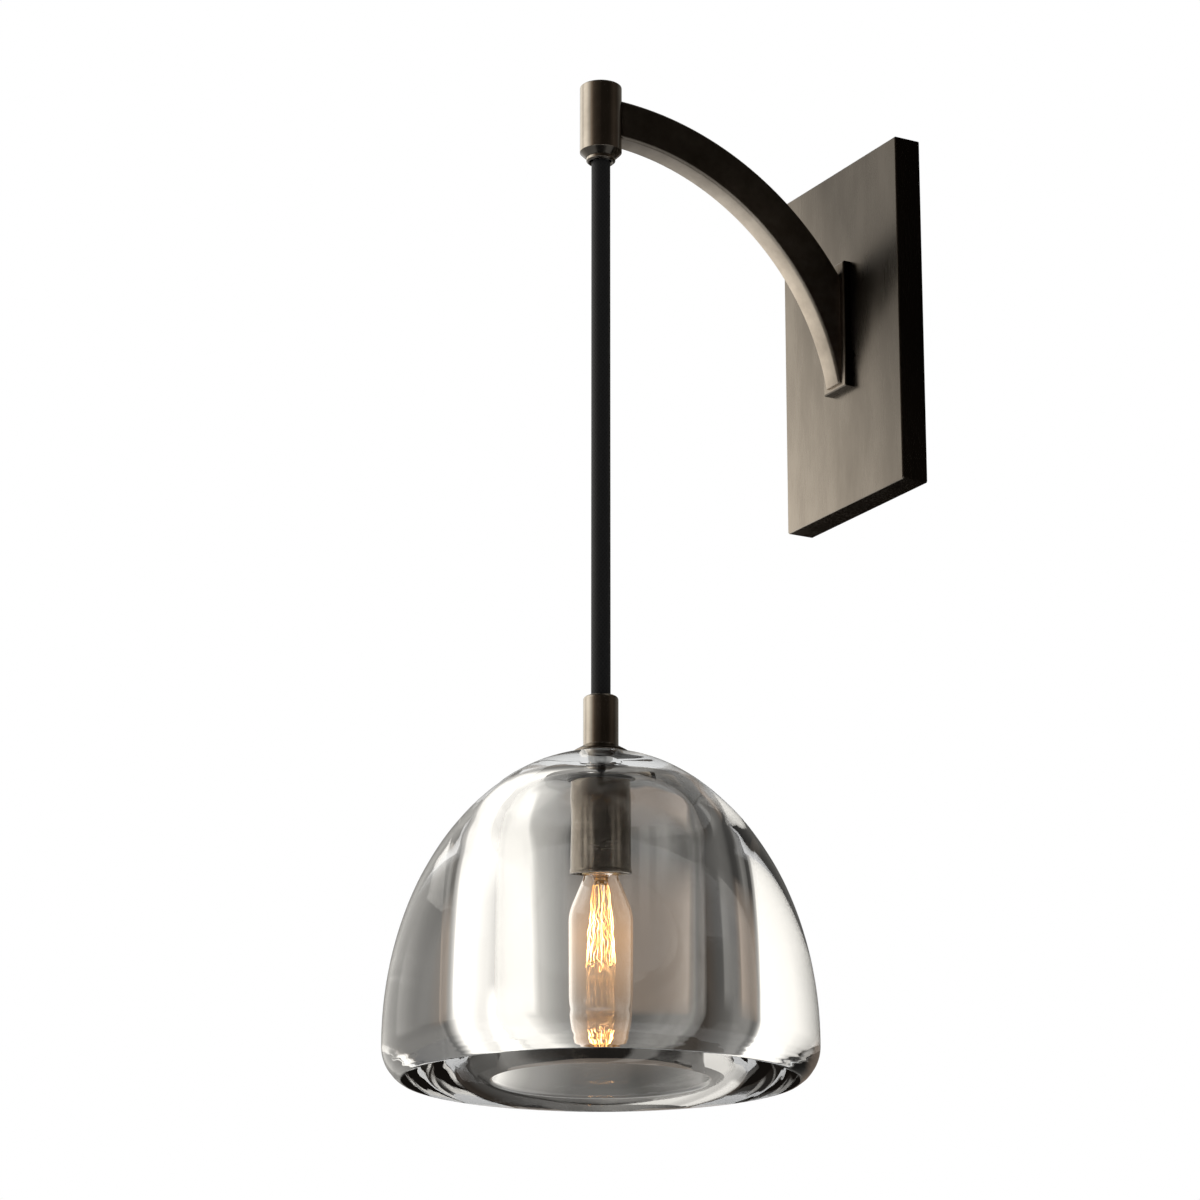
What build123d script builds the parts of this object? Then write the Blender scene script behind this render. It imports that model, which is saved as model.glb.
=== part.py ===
"""Hanging pendant wall sconce: a curved arm on a flat wall plate carries a thick glass dome on a cord.

Frame, in millimetres: the wall is the plane Y = 0, the room lies on -Y, +Z is up and X = 0 is
the plane of symmetry. The origin is the centre of the wall plate's back. The pendant hangs on
the vertical axis X = 0, Y = -axis_reach.
"""
import os
from math import acos, asin, cos, degrees, radians, sin, tan

from build123d import *

# ---------------------------------------------------------------- driving dimensions
# general fits
running_gap = 0.3  # between pieces that move past each other
thread_gap = 0.05  # between a thread and the hole that it is screwed into
soft_edge = 0.5  # broken edges of the plates
driver_slot = 1.0  # width of the slot in a screw's head
past = 1.0  # how far a cutter reaches past the face that it cuts

# wall plate, an open-backed pan
plate_width = 93.0
plate_height = 158.0
plate_depth = 12.6
plate_face = 2.5
plate_wall = 2.0
hook_lip_depth = 1.5  # inner rail at the foot of the pan, behind the bracket's tongue
hook_lip_height = 3.2

# bracket on the junction box
bracket_width = 28.0
bracket_inset = 7.0  # from the plate's top to the bracket's
bracket_sheet = 2.0
bracket_tab = 9.0
bracket_window = 10.0  # radius of the hole that the wires pass through
slot_spacing = 83.3
slot_width = 5.0
slot_length = 12.0
ground_screw_radius = 2.0
ground_head_radius = 3.9
ground_head_height = 2.2
ground_screw_x = 9.0
ground_screw_z = -25.0
set_screw_radius = 2.0
set_screw_past_tab = 0.5  # how far the screws reach past the bracket's tab
set_screw_x = 9.0
set_screw_from_wall = 5.5
hex_recess = 1.0  # radius of the hexagon socket in a set screw
hex_depth = 2.0

# foot pad of the arm
foot_width = 17.6
foot_height = 58.6
foot_thickness = 3.8
foot_rise = 3.4
foot_screw_offset = 22.0
foot_screw_radius = 2.5
foot_screw_bite = 3.0
foot_head_radius = 4.2
foot_head_height = 2.8
foot_washer_thickness = 0.8
foot_washer_radius = 5.0

# arm, a bar between two arcs that run level at the hub and steepen down to the foot pad
axis_reach = 134.6
arm_top = 87.0
arm_depth = 17.6
arm_level = 4.6  # level run between the pendant's axis and the arcs
arm_below_pad_top = 5.4
arm_above_pad_foot = 2.0
arm_tip = 1.2  # thickness left at the arm's lower end
arm_width = 11.0
arm_edge = 0.9  # broken long edges
channel_radius = 2.6
channel_below_top = 8.8  # from the arm's level top to the channel's middle line
channel_turn = 5.0  # radius where the channel turns level at the foot
wire_hole_radius = 3.0
wire_radius = 0.9
wire_sides = 8
wire_spacing = 2.1
wire_tail = 14.0
wire_tail_bend = 3.0
wire_past_plate = 1.0  # straight run of the wires behind the plate's face

# hub
hub_radius = 9.1
hub_above_arm = 6.6
hub_length = 33.2
hub_chamfer = 2.6
hub_round = 0.7
hub_bore = 6.0
cap_thickness = 4.0

# cord grip and cord
grip_flange_radius = 6.3
grip_flange = 2.1
grip_chamfer = 0.7
grip_neck = 5.5
ferrule_wall = 1.4
upper_ferrule_length = 5.5
lower_ferrule_length = 8.0
cord_radius = 4.1
cord_drop = 239.1
cord_stub = 1.3  # jacket left above the upper ferrule
throat_gap = 0.5

# coupler and washer on the crown of the glass
coupler_radius = 7.35
coupler_length = 21.3
coupler_round = 1.5
coupler_roof = 5.0
washer_radius = 11.4
washer_rim = 1.0
washer_height = 3.3
gasket_radius = 10.8
gasket_thickness = 0.5

# threaded nipple
nipple_radius = 5.8
nipple_bore = 4.3
nipple_engagement = 6.0

# glass dome
shade_radius = 88.9
shade_shoulder = 120.9  # height of the elliptical crown
shade_land = 12.0  # radius of the ground flat under the washer
shade_band = 2.2
heel_radius = 15.8
heel_sweep = 60.0
crown_thickness = 19.3
crown_stations = (0, 30, 58)  # angles on the crown's ellipse where its arcs meet
roof_radius = 16.0  # flat roof of the cavity
cavity_radius = 41.5
cavity_shoulder = 38.0
shoulder_stations = (0, 40, 68, 90)
mouth_radius = 43.5
mouth_round = 2.0
shade_hole_gap = 0.7

# nut under the crown
lower_gasket_radius = 13.2
lower_gasket_thickness = 0.8
nut_radius = 14.0
nut_thickness = 2.3
nut_chamfer = 0.5

# socket
cup_radius = 12.2
cup_length = 42.4
cup_wall = 1.0
cup_bead = 0.3
cup_bead_height = 1.6
socket_cap_thickness = 4.0
socket_gap = 0.5  # between the socket's body and the cup
socket_recess = 2.5
wire_chamber_depth = 5.5
socket_floor = 4.5
shell_sheet = 0.5
shell_length = 18.0
contact_radius = 2.5
contact_head = 1.0
contact_stem_radius = 1.3
contact_travel = 2.0  # how far the contact follows the lamp

# lamp
lamp_cap_radius = 5.85
lamp_cap_length = 18.3
lamp_skirt_radius = 7.5
lamp_skirt = 4.5
lamp_cap_lip = 1.0  # height of the cap's turned-in end
lamp_collar = 2.5  # insulating cone of the cap
lamp_collar_radius = 4.6
eyelet_radius = 2.0
eyelet_height = 0.8
bulb_radius = 13.0
bulb_wall = 0.7
bulb_neck_radius = 7.0
bulb_neck = 2.0  # part of the neck inside the cap's skirt
bulb_length = 39.0  # from the neck to the centre of the round tip
bulb_cone = 28.0  # slope of the shoulder from upright
bulb_neck_round = 3.0
bulb_shoulder_round = 13.0
stem_radius = 3.2
stem_tip_radius = 1.4
stem_foot = 1.0  # height of the sealed edge
stem_flare = 2.0  # height of the cone above it
stem_length = 11.0
stem_rod_radius = 0.7
lead_radius = 0.35
cage_top_radius = 4.2
cage_bottom_radius = 7.0
cage_height = 26.0
cage_drop = 3.5  # cage's top below the lamp's cap
lead_rise = 1.2
hook_rise = 2.0
hook_radius = 0.2
strand_count = 8
strand_radius = 0.22
bar_sides = 6  # sides of the filament's strands, leads and hooks

# ---------------------------------------------------------------- derived places
bracket_top = plate_height / 2 - bracket_inset
set_screw_top = plate_height / 2 - soft_edge
set_screw_length = set_screw_top - (bracket_top - bracket_sheet - set_screw_past_tab)
foot_face = -(plate_depth + foot_thickness)
pan_floor = -(plate_depth - plate_face)
foot_screw_heights = (foot_rise - foot_screw_offset, foot_rise + foot_screw_offset)
foot_screw_end = -plate_depth - foot_screw_bite
lip_front = -bracket_sheet - running_gap - hook_lip_depth
tongue_back = lip_front - running_gap
tongue_front = tongue_back - bracket_sheet
tongue_bottom = plate_wall + running_gap - plate_height / 2
tongue_top = tongue_bottom + hook_lip_height

pad_foot = foot_rise - foot_height / 2
arm_apex = -(axis_reach - arm_level)
arm_underside = arm_top - arm_depth
arm_back_foot = pad_foot + foot_height - arm_below_pad_top
arm_low_end = pad_foot + arm_above_pad_foot


def level_arc_radius(run, drop):
    """Radius of an arc that starts level and falls by drop over run."""
    return (run**2 + drop**2) / (2 * drop)


arm_outer_radius = level_arc_radius(foot_face - arm_apex, arm_top - arm_back_foot)
arm_inner_radius = level_arc_radius(foot_face - arm_tip - arm_apex, arm_underside - arm_low_end)
channel_top = arm_top - channel_below_top
channel_arc_radius = (arm_outer_radius + arm_inner_radius) / 2
channel_sweep = degrees(asin((foot_face - arm_apex) / (channel_arc_radius + channel_turn)))
channel_drop = (channel_arc_radius + channel_turn) * (1 - cos(radians(channel_sweep)))
wire_exit_z = channel_top - channel_drop

hub_top = arm_top + hub_above_arm
hub_bottom = hub_top - hub_length
pivot_z = hub_bottom - grip_flange
throat_radius = cord_radius + throat_gap
ferrule_radius = cord_radius + ferrule_wall
neck_top = hub_bottom + grip_neck
cord_end_bottom = pivot_z + cord_radius + running_gap
cord_end_top = neck_top + upper_ferrule_length + cord_stub

coupler_top = pivot_z - cord_drop
coupler_bottom = coupler_top - coupler_length
lower_ferrule_top = coupler_top - coupler_roof - running_gap
cord_bottom = lower_ferrule_top - lower_ferrule_length
chamber_radius = nipple_radius + thread_gap
washer_bottom = coupler_bottom - washer_height
glass_top = washer_bottom - gasket_thickness

crown_sweep = degrees(acos(shade_land / shade_radius))
shade_widest = glass_top - shade_shoulder * sin(radians(crown_sweep))
heel_centre = shade_widest - shade_band
shade_bottom = heel_centre - heel_radius * sin(radians(heel_sweep))
rim_radius = shade_radius - heel_radius * (1 - cos(radians(heel_sweep)))
cavity_top = glass_top - crown_thickness
nut_top = cavity_top - lower_gasket_thickness
cup_top = nut_top - nut_thickness
cup_bottom = cup_top - cup_length
cup_roof = cup_top - cup_wall
socket_top = cup_roof - socket_cap_thickness
socket_bottom = cup_bottom + socket_recess
socket_radius = cup_radius - cup_wall - socket_gap
chamber_floor = socket_top - wire_chamber_depth
shell_top = chamber_floor - socket_floor
shell_inner = lamp_cap_radius + running_gap
shell_outer = shell_inner + shell_sheet
nipple_bottom = socket_top + thread_gap

contact_top = shell_top - running_gap
contact_stem_top = chamber_floor + contact_travel
contact_face = contact_top - contact_head
collar_top = contact_face - eyelet_height
lamp_cap_top = collar_top - lamp_collar
lamp_cap_bottom = lamp_cap_top - lamp_cap_length - lamp_skirt
bulb_neck_top = lamp_cap_bottom + bulb_neck
bulb_shoulder_top = lamp_cap_bottom - running_gap
bulb_turns = bulb_neck_round + bulb_shoulder_round
cone_width = bulb_radius - bulb_neck_radius - bulb_turns * (1 - cos(radians(bulb_cone)))
cone_height = cone_width / tan(radians(bulb_cone))
bulb_straight_top = bulb_shoulder_top - bulb_turns * sin(radians(bulb_cone)) - cone_height
bulb_straight_bottom = bulb_shoulder_top - bulb_length
stem_tip = bulb_neck_top - stem_length
cage_top = lamp_cap_bottom - cage_drop
cage_bottom = cage_top - cage_height

pendant_axis = Pos(0, -axis_reach, 0)


# ---------------------------------------------------------------- shapes used more than once
def rod(radius, low, high):
    """Upright cylinder on the pendant's axis."""
    return Pos(0, -axis_reach, (low + high) / 2) * Cylinder(radius, high - low)


def tube(outer, inner, low, high):
    """Upright ring on the pendant's axis."""
    return rod(outer, low, high) - rod(inner, low - past, high + past)


def turned(edges):
    """Solid of revolution about the pendant's axis, from a closed outline of (radius, height)."""
    face = Plane.XZ * make_face(Curve() + edges)
    return pendant_axis * revolve(face, Axis.Z)


def turned_points(points):
    """Solid of revolution with straight sides."""
    return turned([Polyline(*points, close=True)])


def bolt_to_wall(radius, z, front, back, x=0):
    """Cylinder along Y between two depths."""
    return Pos(x, (front + back) / 2, z) * Rot(90, 0, 0) * Cylinder(radius, back - front)


def block(width, y_front, y_back, z_low, z_high, x=0):
    """Box given by its width and its faces' places."""
    middle = Pos(x, (y_front + y_back) / 2, (z_low + z_high) / 2)
    return middle * Box(width, y_back - y_front, z_high - z_low)


# ---------------------------------------------------------------- wall side
def make_backplate():
    outer = block(plate_width, -plate_depth, 0, -plate_height / 2, plate_height / 2)
    front_edges = outer.edges().filter_by(lambda e: e.center().Y < -soft_edge)
    outer = chamfer(front_edges, soft_edge)
    inside_height = plate_height / 2 - plate_wall
    pocket = block(plate_width - 2 * plate_wall, pan_floor, past, -inside_height, inside_height)
    pan = outer - pocket
    lip_top = hook_lip_height - inside_height
    pan += block(bracket_width, lip_front, lip_front + hook_lip_depth, -inside_height, lip_top)
    for x in (-set_screw_x, set_screw_x):
        hole = Cylinder(set_screw_radius + running_gap, 3 * plate_wall)
        pan -= Pos(x, -set_screw_from_wall, plate_height / 2) * hole
    for z in foot_screw_heights:
        pan -= bolt_to_wall(foot_screw_radius + running_gap, z, -plate_depth - past, 0)
    pan -= bolt_to_wall(wire_hole_radius, wire_exit_z, -plate_depth - past, 0)
    return pan


def make_wall_bracket():
    strap = block(bracket_width, -bracket_sheet, 0, tongue_top, bracket_top)
    strap += block(bracket_width, -bracket_tab, 0, bracket_top - bracket_sheet, bracket_top)
    # the foot bends forward over the pan's inner rail, and its tongue drops in front of the rail
    strap += block(bracket_width, tongue_front, 0, tongue_top, tongue_top + bracket_sheet)
    strap += block(bracket_width, tongue_front, tongue_back, tongue_bottom, tongue_top)
    window_z = wire_exit_z - bracket_window / 2
    strap -= bolt_to_wall(bracket_window, window_z, -bracket_sheet - past, past)
    for side in (-1, 1):
        slot = Plane.XZ * Rot(0, 0, 90) * SlotOverall(slot_length, slot_width)
        cutter = extrude(slot, bracket_sheet, both=True)
        strap -= Pos(0, 0, side * slot_spacing / 2) * cutter
    for x in (-set_screw_x, set_screw_x):
        hole = Cylinder(set_screw_radius + thread_gap, 3 * bracket_sheet)
        strap -= Pos(x, -set_screw_from_wall, bracket_top) * hole
    ground_hole = ground_screw_radius + thread_gap
    return strap - bolt_to_wall(ground_hole, ground_screw_z, -bracket_sheet - past, past, ground_screw_x)


def make_ground_screw():
    """Pan-head screw from the room side, flush with the bracket's back."""
    x, z = ground_screw_x, ground_screw_z
    head_front = -bracket_sheet - ground_head_height
    shank = bolt_to_wall(ground_screw_radius, z, -bracket_sheet, 0, x)
    head = bolt_to_wall(ground_head_radius, z, head_front, -bracket_sheet, x)
    head = chamfer(head.edges().group_by(Axis.Y)[0], ground_head_height / 3)
    low = z - driver_slot / 2
    slot_floor = head_front + ground_head_height / 2
    return shank + head - block(2 * ground_head_radius, head_front, slot_floor, low, low + driver_slot, x)


def make_plate_set_screws():
    screws = []
    for x in (-set_screw_x, set_screw_x):
        stud = Cylinder(set_screw_radius, set_screw_length)
        stud = Pos(x, -set_screw_from_wall, set_screw_top - set_screw_length / 2) * stud
        socket = extrude(RegularPolygon(hex_recess, 6), hex_depth)
        screws.append(stud - Pos(x, -set_screw_from_wall, set_screw_top - hex_depth) * socket)
    return Compound(screws)


def make_foot_screws():
    """Screws from inside the pan, through the plate into the foot pad."""
    screws = []
    seat = pan_floor + foot_washer_thickness
    reach = seat + plate_depth + foot_screw_bite
    for z in foot_screw_heights:
        shank = bolt_to_wall(foot_screw_radius, z, seat - reach, seat)
        head = bolt_to_wall(foot_head_radius, z, seat, seat + foot_head_height)
        head = chamfer(head.edges().group_by(Axis.Y)[-1], foot_head_height / 3)
        low = z - driver_slot / 2
        slot_floor = seat + foot_head_height / 2
        screws.append(shank + head - block(2 * foot_head_radius, slot_floor, 0, low, low + driver_slot))
    return Compound(screws)


def make_foot_washers():
    rings = []
    for z in foot_screw_heights:
        ring = bolt_to_wall(foot_washer_radius, z, pan_floor, pan_floor + foot_washer_thickness)
        ring -= bolt_to_wall(foot_screw_radius + running_gap, z, pan_floor - past, 0)
        rings.append(ring)
    return Compound(rings)


def make_foot_pad():
    pad = block(foot_width, foot_face, -plate_depth, pad_foot, pad_foot + foot_height)
    pad = chamfer(pad.faces().sort_by(Axis.Y)[0].edges(), soft_edge)
    for z in foot_screw_heights:
        pad -= bolt_to_wall(foot_screw_radius + thread_gap, z, foot_screw_end, 0)
    return pad - bolt_to_wall(wire_hole_radius, wire_exit_z, foot_face - past, 0)


# ---------------------------------------------------------------- arm and hub
def wire_route(start_z, tail_z):
    """Middle line of the wires: up the hub, over the arm's arc, level through the foot, down the pan."""
    with BuildLine(Plane.YZ) as route:
        rise = Line((-axis_reach, start_z), (-axis_reach, channel_top - arm_level))
        over = JernArc(rise @ 1, rise % 1, arm_level, -90)
        arc = JernArc(over @ 1, over % 1, channel_arc_radius, -channel_sweep)
        turn = JernArc(arc @ 1, arc % 1, channel_turn, channel_sweep)
        level = Line(turn @ 1, (pan_floor + wire_past_plate, wire_exit_z))
        if tail_z is not None:
            corner = JernArc(level @ 1, level % 1, wire_tail_bend, -90)
            Line(corner @ 1, ((corner @ 1).Y, tail_z))
    return route.wire()


def pipe_along(route, section):
    return sweep(Plane(origin=route @ 0, z_dir=route % 0) * section, path=route)


def arm_channel():
    return pipe_along(wire_route(hub_bottom, None), Circle(channel_radius))


def make_arm():
    """Bar between two arcs, from the foot pad to inside the hub, then cut to the hub's side."""
    with BuildSketch(Plane.YZ) as side_view:
        with BuildLine():
            Polyline((arm_apex, arm_underside), (-axis_reach, arm_underside), (-axis_reach, arm_top))
            Line((-axis_reach, arm_top), (arm_apex, arm_top))
            RadiusArc((arm_apex, arm_top), (foot_face, arm_back_foot), arm_outer_radius)
            Polyline(
                (foot_face, arm_back_foot), (foot_face, arm_low_end), (foot_face - arm_tip, arm_low_end)
            )
            RadiusArc((foot_face - arm_tip, arm_low_end), (arm_apex, arm_underside), -arm_inner_radius)
        make_face()
    bar = extrude(side_view.sketch, arm_width / 2, both=True)
    bar = chamfer(bar.edges().filter_by(GeomType.CIRCLE), arm_edge)
    return bar - rod(hub_radius, hub_bottom, hub_top) - arm_channel()


def make_hub():
    sides = turned(
        [
            Polyline((hub_bore, hub_bottom), (hub_radius - hub_chamfer, hub_bottom)),
            Line((hub_radius - hub_chamfer, hub_bottom), (hub_radius, hub_bottom + hub_chamfer)),
            Line((hub_radius, hub_bottom + hub_chamfer), (hub_radius, hub_top - hub_round)),
            RadiusArc((hub_radius, hub_top - hub_round), (hub_radius - hub_round, hub_top), -hub_round),
            Polyline((hub_radius - hub_round, hub_top), (hub_bore, hub_top), (hub_bore, hub_bottom)),
        ]
    )
    return sides - arm_channel()


def make_hub_cap():
    plug = rod(hub_bore - thread_gap, hub_top - cap_thickness, hub_top)
    return chamfer(plug.edges().group_by(Axis.Z)[-1], soft_edge / 2)


def make_cord_grip():
    neck = hub_bore - thread_gap
    flare = throat_radius + grip_chamfer
    return turned_points(
        [
            (flare, pivot_z),
            (grip_flange_radius - grip_chamfer, pivot_z),
            (grip_flange_radius, pivot_z + grip_chamfer),
            (grip_flange_radius, hub_bottom),
            (neck, hub_bottom),
            (neck, neck_top),
            (throat_radius, neck_top),
            (throat_radius, pivot_z + grip_chamfer),
        ]
    )


def make_upper_ferrule():
    return tube(ferrule_radius, cord_radius, neck_top, neck_top + upper_ferrule_length)


def make_cord_end():
    """Clamped end of the cord inside the hub, above the place where the cord bends."""
    return rod(cord_radius, cord_end_bottom, cord_end_top)


def wire_pair(solid_at):
    return Compound([solid_at(-wire_spacing / 2), solid_at(wire_spacing / 2)])


def make_arm_wires():
    route = wire_route(cord_end_top, wire_exit_z - wire_tail_bend - wire_tail)
    conductor = pipe_along(route, RegularPolygon(wire_radius, wire_sides))
    return wire_pair(lambda x: Pos(x, 0, 0) * conductor)


# ---------------------------------------------------------------- cord and its ends
def make_cord_bend():
    """The short length that bends in the grip's mouth, a ball about the pivot."""
    return Pos(0, -axis_reach, pivot_z) * Sphere(cord_radius)


def make_cord():
    hollow = Pos(0, -axis_reach, pivot_z) * Sphere(cord_radius + running_gap)
    return rod(cord_radius, cord_bottom, pivot_z) - hollow


def make_lower_ferrule():
    return tube(ferrule_radius, cord_radius, cord_bottom, lower_ferrule_top)


def make_coupler():
    hole = cord_radius + running_gap
    roof = coupler_top - coupler_roof
    body = rod(coupler_radius, coupler_bottom, coupler_top)
    body = fillet(body.edges().group_by(Axis.Z)[-1], coupler_round)
    body -= rod(hole, roof, coupler_top + past)
    return body - rod(chamber_radius, coupler_bottom - past, roof)


def make_nipple():
    return tube(nipple_radius, nipple_bore, nipple_bottom, coupler_bottom + nipple_engagement)


def make_shade_washer():
    return turned_points(
        [
            (chamber_radius, coupler_bottom),
            (coupler_radius, coupler_bottom),
            (washer_radius, washer_bottom + washer_rim),
            (washer_radius, washer_bottom),
            (chamber_radius, washer_bottom),
        ]
    )


def make_upper_gasket():
    return tube(gasket_radius, chamber_radius, glass_top, washer_bottom)


def elliptical_arcs(centre, width, height, stations):
    """Smooth chain of arcs along an ellipse, upward from its level end, met at the given angles."""
    angles = [radians(station) for station in stations]
    points = [(centre[0] + width * cos(a), centre[1] + height * sin(a)) for a in angles]
    arcs = []
    heading = (0, 1)
    for start, end in zip(points[:-1], points[1:]):
        arcs.append(TangentArc(start, end, tangent=heading))
        heading = arcs[-1] % 1
    return arcs


def make_glass_shade():
    """Solid glass dome with a bell-shaped cavity, open below and bored through at its crown."""
    hole = nipple_radius + shade_hole_gap
    land = (shade_land, glass_top)
    widest = (shade_radius, shade_widest)
    heel_end = (rim_radius, shade_bottom)
    flat_end = (mouth_radius + mouth_round, shade_bottom)
    lip_top = (mouth_radius, shade_bottom + mouth_round)
    wall_top = (cavity_radius, cavity_top - cavity_shoulder)
    roof = (roof_radius, cavity_top)
    crown_ends = (*crown_stations, crown_sweep)
    crown = elliptical_arcs((0, shade_widest), shade_radius, shade_shoulder, crown_ends)
    shoulder_centre = (roof_radius, cavity_top - cavity_shoulder)
    shoulder_width = cavity_radius - roof_radius
    shoulder = elliptical_arcs(shoulder_centre, shoulder_width, cavity_shoulder, shoulder_stations)
    return turned(
        [
            Line((hole, cavity_top), (hole, glass_top)),
            Line((hole, glass_top), land),
            *crown,
            Line(widest, (shade_radius, heel_centre)),
            CenterArc((shade_radius - heel_radius, heel_centre), heel_radius, 0, -heel_sweep),
            Line(heel_end, flat_end),
            RadiusArc(flat_end, lip_top, mouth_round),
            Line(lip_top, wall_top),
            *shoulder,
            Line(roof, (hole, cavity_top)),
        ]
    )


def make_lower_gasket():
    return tube(lower_gasket_radius, chamber_radius, nut_top, cavity_top)


def make_crown_nut():
    ring = tube(nut_radius, chamber_radius, cup_top, nut_top)
    rim = ring.edges().filter_by(GeomType.CIRCLE).filter_by(lambda e: e.radius > cup_radius)
    return chamfer(rim, nut_chamfer)


# ---------------------------------------------------------------- socket
def make_socket_cup():
    bead = cup_radius + cup_bead
    inner = cup_radius - cup_wall
    bead_top = cup_bottom + cup_bead_height
    return turned_points(
        [
            (chamber_radius, cup_top),
            (cup_radius, cup_top),
            (cup_radius, bead_top),
            (bead, bead_top - cup_bead),
            (bead, cup_bottom + cup_bead),
            (cup_radius, cup_bottom),
            (inner, cup_bottom),
            (inner, cup_roof),
            (chamber_radius, cup_roof),
        ]
    )


def make_socket_cap():
    return tube(socket_radius, chamber_radius, socket_top, cup_roof)


def make_socket_body():
    """Insulating body: a wire chamber above, the bore of the screw shell below."""
    mouth = lamp_skirt_radius + socket_gap
    body = tube(socket_radius, shell_outer + thread_gap, socket_bottom, shell_top)
    body += rod(socket_radius, shell_top, chamber_floor)
    body += tube(socket_radius, nipple_bore, chamber_floor, socket_top)
    body -= rod(mouth, socket_bottom - past, lamp_cap_bottom + lamp_skirt + running_gap)
    return body - rod(contact_stem_radius + running_gap, shell_top - past, chamber_floor + past)


def make_screw_shell():
    return tube(shell_outer, shell_inner, shell_top - shell_length, shell_top)


def make_centre_contact():
    """Sprung contact that follows the lamp's tip when the lamp is turned back."""
    head = rod(contact_radius, contact_face, contact_top)
    return head + rod(contact_stem_radius, contact_top, contact_stem_top)


def make_socket_wires():
    low = contact_stem_top + running_gap
    high = cord_bottom - running_gap
    return wire_pair(lambda x: Pos(x, 0, 0) * rod(wire_radius, low, high))


# ---------------------------------------------------------------- lamp
def make_lamp_cap():
    skirt_top = lamp_cap_bottom + lamp_skirt
    inner = lamp_cap_radius - shell_sheet
    skirt_inner = lamp_skirt_radius - shell_sheet / 2
    lip_low = lamp_cap_top - lamp_cap_lip
    return turned_points(
        [
            (lamp_collar_radius, lamp_cap_top),
            (lamp_cap_radius, lip_low),
            (lamp_cap_radius, skirt_top),
            (lamp_skirt_radius, lamp_cap_bottom + lamp_skirt / 2),
            (lamp_skirt_radius, lamp_cap_bottom),
            (skirt_inner, lamp_cap_bottom),
            (skirt_inner, lamp_cap_bottom + lamp_skirt / 2),
            (inner, skirt_top),
            (inner, lip_low - lamp_cap_lip),
            (lamp_collar_radius - shell_sheet, lip_low),
        ]
    )


def make_lamp_collar():
    low = lamp_cap_top - lamp_cap_lip
    inner = lamp_collar_radius - shell_sheet
    return turned_points(
        [
            (0, low),
            (inner, low),
            (inner, lamp_cap_top),
            (eyelet_radius, collar_top),
            (0, collar_top),
        ]
    )


def make_lamp_eyelet():
    return rod(eyelet_radius, collar_top, contact_face)


def bulb_outline(inset):
    """Half outline of the bulb from its neck to its tip, moved inward by the wall's thickness."""
    neck = (bulb_neck_radius - inset, bulb_neck_top)
    neck_centre = (bulb_neck_radius + bulb_neck_round, bulb_shoulder_top)
    neck_turn = CenterArc(neck_centre, bulb_neck_round + inset, 180, bulb_cone)
    wall_centre = (bulb_radius - bulb_shoulder_round, bulb_straight_top)
    wall_turn = CenterArc(wall_centre, bulb_shoulder_round - inset, 0, bulb_cone)
    tip_radius = bulb_radius - inset
    return [
        Line(neck, neck_turn @ 0),
        neck_turn,
        Line(neck_turn @ 1, wall_turn @ 1),
        wall_turn,
        Line(wall_turn @ 0, (tip_radius, bulb_straight_bottom)),
        CenterArc((0, bulb_straight_bottom), tip_radius, 0, -90),
    ]


def make_bulb_glass():
    tip = bulb_straight_bottom - bulb_radius
    closing = [
        Line((0, tip), (0, tip + bulb_wall)),
        Line((bulb_neck_radius - bulb_wall, bulb_neck_top), (bulb_neck_radius, bulb_neck_top)),
    ]
    return turned(bulb_outline(0) + bulb_outline(bulb_wall) + closing)


def make_lamp_stem():
    """Glass press that seals the neck, and the thin rod that stands on its tip."""
    foot = bulb_neck_radius - bulb_wall - thread_gap
    return turned_points(
        [
            (0, bulb_neck_top),
            (foot, bulb_neck_top),
            (foot, bulb_neck_top - stem_foot),
            (stem_radius, bulb_neck_top - stem_foot - stem_flare),
            (stem_tip_radius, stem_tip),
            (stem_rod_radius, stem_tip),
            (stem_rod_radius, cage_bottom),
            (0, cage_bottom),
        ]
    )


def cage_point(index, at_top):
    """End of one strand of the filament."""
    angle = radians(360 * index / strand_count)
    radius = cage_top_radius if at_top else cage_bottom_radius
    height = cage_top if at_top else cage_bottom
    return Vector(radius * cos(angle), radius * sin(angle) - axis_reach, height)


def thin_bar(start, end, radius):
    """Thin bar with flat sides between two points, which runs past both by half its radius."""
    along = (end - start).normalized() * (radius / 2)
    plane = Plane(origin=start - along, z_dir=along)
    return extrude(plane * RegularPolygon(radius, bar_sides), (end - start).length + radius)


def make_filament():
    """One unbroken squirrel-cage strand that runs down and up around the stem."""
    points = []
    for index in range(strand_count):
        goes_down = index % 2 == 0
        points.append(cage_point(index, goes_down))
        points.append(cage_point(index, not goes_down))
    cage = thin_bar(points[0], points[1], strand_radius)
    for start, end in zip(points[1:-1], points[2:]):
        cage += thin_bar(start, end, strand_radius)
    return cage


def stem_side(height):
    """Radius of the stem's cone at a height."""
    cone_top = bulb_neck_top - stem_foot - stem_flare
    share = (cone_top - height) / (cone_top - stem_tip)
    return stem_radius - (stem_radius - stem_tip_radius) * share


def make_filament_leads():
    """Two wires from the stem to the ends of the filament."""
    leads = []
    for index in (0, strand_count - 1):
        outer = cage_point(index, True) + Vector(0, 0, strand_radius + lead_radius)
        inner = Vector(0, -axis_reach, cage_top + lead_rise)
        reach = (outer - inner).normalized() * (stem_side(inner.Z) + lead_radius)
        leads.append(thin_bar(outer, inner + reach, lead_radius))
    return Compound(leads)


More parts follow.
